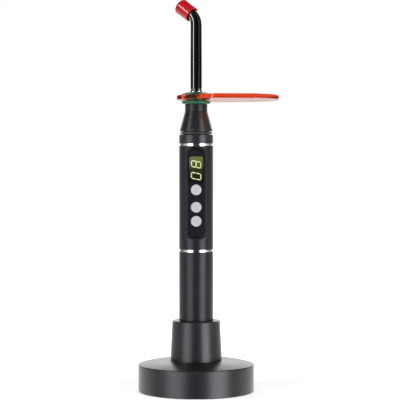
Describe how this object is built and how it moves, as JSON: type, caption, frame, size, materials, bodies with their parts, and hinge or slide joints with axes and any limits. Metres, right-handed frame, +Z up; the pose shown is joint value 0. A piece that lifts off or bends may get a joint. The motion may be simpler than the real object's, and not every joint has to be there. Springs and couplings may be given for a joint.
{
  "type": "dental curing light",
  "caption": "Pen-shaped cordless curing light with a bent light guide, clear glare shield, display and push buttons, standing upright in the socket of a round weighted charging base.",
  "frame": {"origin": "centre of the foot pad's underside, on the axis of the handle", "axes": "+Z up along the handle; -Y is the control panel's side; the light guide bends to -X and backwards, and the shield reaches out to +X"},
  "size_m": [0.0996, 0.082, 0.2783],
  "materials": {
    "stand_black": "satin black moulding",
    "anodised_black": "satin black anodised",
    "chrome_trim": "polished",
    "panel_black": "gloss black",
    "window_tint": "clear, lightly tinted",
    "digit_glow": "lit segments",
    "display_face": "olive display face",
    "button_silver": "silver with a bright rim",
    "guide_black": "gloss black light-tight jacket",
    "guide_glass": "polished glass core",
    "cap_red": "smooth red silicone",
    "ring_green": "green silicone",
    "shield_orange": "clear orange sheet, polished edges",
    "circuit_board": "solder mask",
    "component_black": "moulded black",
    "insulator": "natural nylon",
    "brass": "plated",
    "steel": "bright",
    "ballast_iron": "raw casting",
    "cell_can": "shrink sleeve",
    "lead_sleeve": "insulated wire",
    "black_rubber": "matt",
    "bare_aluminium": "turned",
    "led_yellow": "emitter dome"
  },
  "bodies": {
    "stand": {"stand_shell": "stand_black", "socket_collar": "stand_black", "socket_nut": "steel", "contact_carrier": "insulator", "pin_spring_centre": "steel", "pin_spring_outer": "steel", "charger_board": "circuit_board", "dc_jack": "component_black", "jack_nut": "steel", "jack_leads": "lead_sleeve", "ballast_ring": "ballast_iron", "bottom_plate": "component_black", "bottom_screws": "steel", "foot_pad": "black_rubber"},
    "pen": {"battery_tube": "anodised_black", "tail_plug": "insulator", "tail_contact_pad": "brass", "tail_contact_ring": "brass", "battery_spring": "steel", "battery_cell": "cell_can", "positive_contact": "brass", "contact_disc": "insulator", "lower_trim_ring": "chrome_trim", "body_tube": "anodised_black", "upper_trim_ring": "chrome_trim", "control_panel": "panel_black", "display_window": "window_tint", "display_digits": "digit_glow", "display_module": "display_face", "tact_switches": "component_black", "control_board": "circuit_board", "board_chips": "component_black", "buzzer": "component_black", "board_screws": "steel", "inner_leads": "lead_sleeve", "head_collar": "anodised_black", "seal_ring": "black_rubber", "nose_cone": "anodised_black", "heat_sink": "bare_aluminium", "led_board": "bare_aluminium", "led_emitter": "led_yellow", "reflector": "chrome_trim", "guide_o_ring": "black_rubber"},
    "light_guide": {"guide_jacket": "guide_black", "guide_core": "guide_glass", "guide_ferrule": "chrome_trim"},
    "cap": {"guide_cap": "cap_red"},
    "shield": {"shield_plate": "shield_orange", "shield_ring": "ring_green"},
    "upper_button": {"upper_button": "button_silver"},
    "middle_button": {"middle_button": "button_silver"},
    "lower_button": {"lower_button": "button_silver"},
    "charge_pin_centre": {"charge_pin_centre": "brass"},
    "charge_pin_outer": {"charge_pin_outer": "brass"}
  },
  "joints": [
    {"name": "pen_lift", "type": "slide", "parent": "stand", "child": "pen", "axis": [0, 0, 1], "range_m": [0, 0.06]},
    {"name": "guide_swivel", "type": "hinge", "parent": "pen", "child": "light_guide", "pos_m": [0, 0, 0.2], "axis": [0, 0, 1], "continuous": true},
    {"name": "shield_swivel", "type": "hinge", "parent": "light_guide", "child": "shield", "pos_m": [0, 0, 0.2086], "axis": [0, 0, 1], "continuous": true},
    {"name": "cap_pull", "type": "slide", "parent": "light_guide", "child": "cap", "axis": [-0.6831, 0.4783, 0.5519], "range_m": [0, 0.016]},
    {"name": "upper_button_press", "type": "slide", "parent": "pen", "child": "upper_button", "axis": [0, 1, 0], "range_m": [0, 0.0006], "stiffness_N_per_m": 800, "springref_m": -0.001},
    {"name": "middle_button_press", "type": "slide", "parent": "pen", "child": "middle_button", "axis": [0, 1, 0], "range_m": [0, 0.0006], "stiffness_N_per_m": 800, "springref_m": -0.001},
    {"name": "lower_button_press", "type": "slide", "parent": "pen", "child": "lower_button", "axis": [0, 1, 0], "range_m": [0, 0.0006], "stiffness_N_per_m": 800, "springref_m": -0.001},
    {"name": "centre_pin_press", "type": "slide", "parent": "stand", "child": "charge_pin_centre", "axis": [0, 0, -1], "range_m": [0, 0.001], "stiffness_N_per_m": 400, "springref_m": -0.0005, "deforming": ["pin_spring_centre"]},
    {"name": "outer_pin_press", "type": "slide", "parent": "stand", "child": "charge_pin_outer", "axis": [0, 0, -1], "range_m": [0, 0.001], "stiffness_N_per_m": 400, "springref_m": -0.0005, "deforming": ["pin_spring_outer"]}
  ]
}
